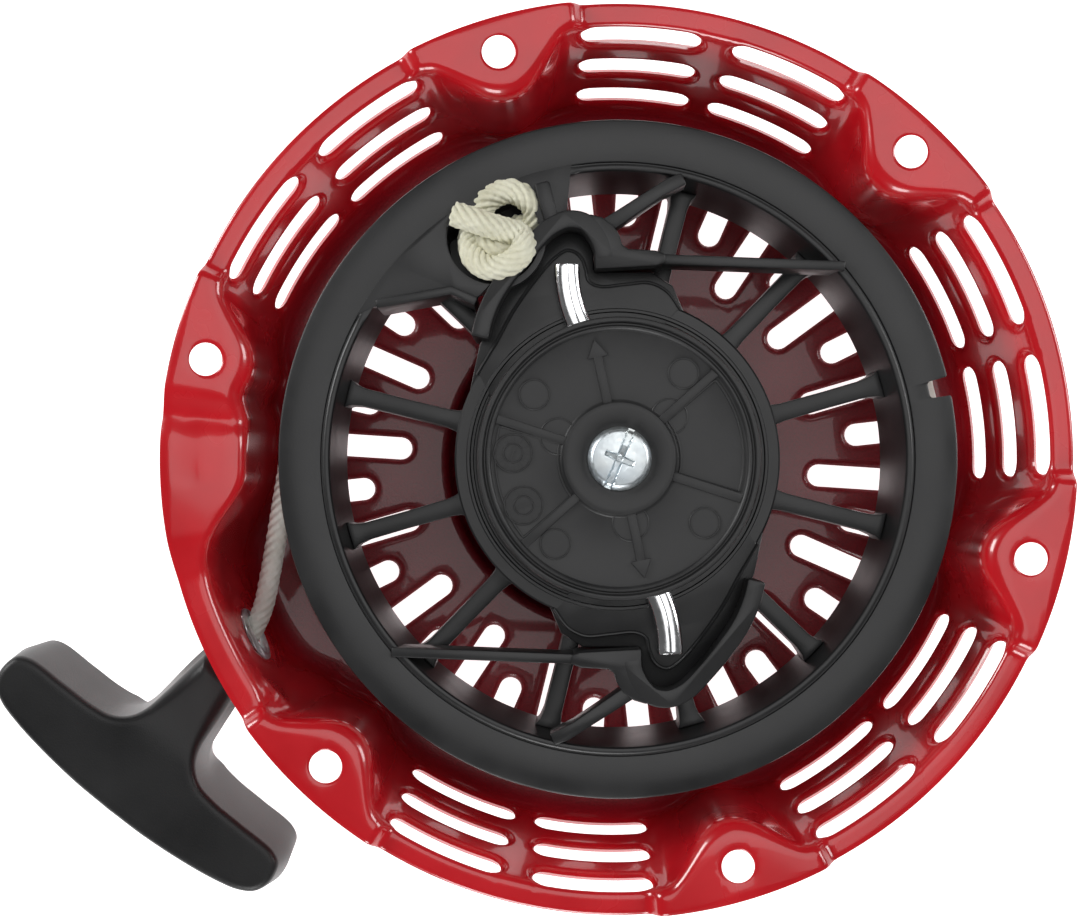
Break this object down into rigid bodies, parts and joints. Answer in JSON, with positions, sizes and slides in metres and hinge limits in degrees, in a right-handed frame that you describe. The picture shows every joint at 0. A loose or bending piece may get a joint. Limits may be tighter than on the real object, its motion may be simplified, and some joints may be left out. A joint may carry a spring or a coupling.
{
  "type": "recoil starter",
  "caption": "Pull-rope starter for a small engine: vented steel case with a bolt flange, rope reel with two ratchets and a guide, and a T-grip on the rope.",
  "frame": {"origin": "centre of the bolt circle, on the mounting face of the flange", "axes": "+Z along the reel's axis towards the engine; the first bolt hole is at 46.4 degrees from +X; the rope leaves at 231.5 degrees"},
  "size_m": [0.2848, 0.236, 0.0677],
  "materials": {
    "red_paint": "glossy red enamel on pressed steel",
    "black_plastic": "satin moulded black plastic",
    "guide_plastic": "satin moulded black plastic",
    "grip_plastic": "semi-gloss black",
    "rope_fibre": "braided cream cord",
    "bright_steel": "bright plated steel",
    "zinc_steel": "bluish zinc plate",
    "spring_steel": "oiled spring steel"
  },
  "bodies": {
    "housing": {"starter_case": "red_paint", "centre_post": "bright_steel", "setting_screw": "zinc_steel", "reel_washer": "bright_steel", "friction_spring": "spring_steel", "recoil_spring": "spring_steel", "rope_eyelet": "zinc_steel", "rope_lead": "rope_fibre"},
    "reel_body": {"reel": "black_plastic", "rope_winding": "rope_fibre", "reel_knot": "rope_fibre", "ratchet_spring_top": "spring_steel", "ratchet_spring_bottom": "spring_steel"},
    "top_ratchet_body": {"ratchet_top": "bright_steel"},
    "bottom_ratchet_body": {"ratchet_bottom": "bright_steel"},
    "guide_body": {"ratchet_guide": "guide_plastic"},
    "grip_body": {"starter_grip": "grip_plastic", "grip_insert": "zinc_steel", "rope_tail": "rope_fibre", "grip_knot": "rope_fibre"}
  },
  "joints": [
    {"name": "reel_spin", "type": "hinge", "parent": "housing", "child": "reel_body", "pos_m": [0, 0, 0], "axis": [0, 0, 1], "range_deg": [0, 1260], "stiffness_Nm_per_rad": 0.03, "springref_deg": -687.55, "deforming": ["recoil_spring", "rope_lead"]},
    {"name": "grip_pull", "type": "slide", "parent": "housing", "child": "grip_body", "axis": [-0.6225, -0.7826, 0], "range_m": [0, 1.76]},
    {"name": "guide_turn", "type": "hinge", "parent": "reel_body", "child": "guide_body", "pos_m": [0, 0, 0], "axis": [0, 0, 1], "range_deg": [-25, 0], "stiffness_Nm_per_rad": 0.02, "springref_deg": 20.05},
    {"name": "top_ratchet_swing", "type": "hinge", "parent": "reel_body", "child": "top_ratchet_body", "pos_m": [0.014, 0.022, 0], "axis": [0, 0, 1], "range_deg": [-6, 0], "deforming": ["ratchet_spring_top"]},
    {"name": "bottom_ratchet_swing", "type": "hinge", "parent": "reel_body", "child": "bottom_ratchet_body", "pos_m": [-0.014, -0.022, 0], "axis": [0, 0, 1], "range_deg": [-6, 0], "deforming": ["ratchet_spring_bottom"]}
  ],
  "couplings": [
    {"joint": "grip_pull", "follows": "reel_spin", "m_per_rad": 0.08},
    {"joint": "top_ratchet_swing", "follows": "guide_turn", "ratio": 0.24},
    {"joint": "bottom_ratchet_swing", "follows": "guide_turn", "ratio": 0.24}
  ]
}
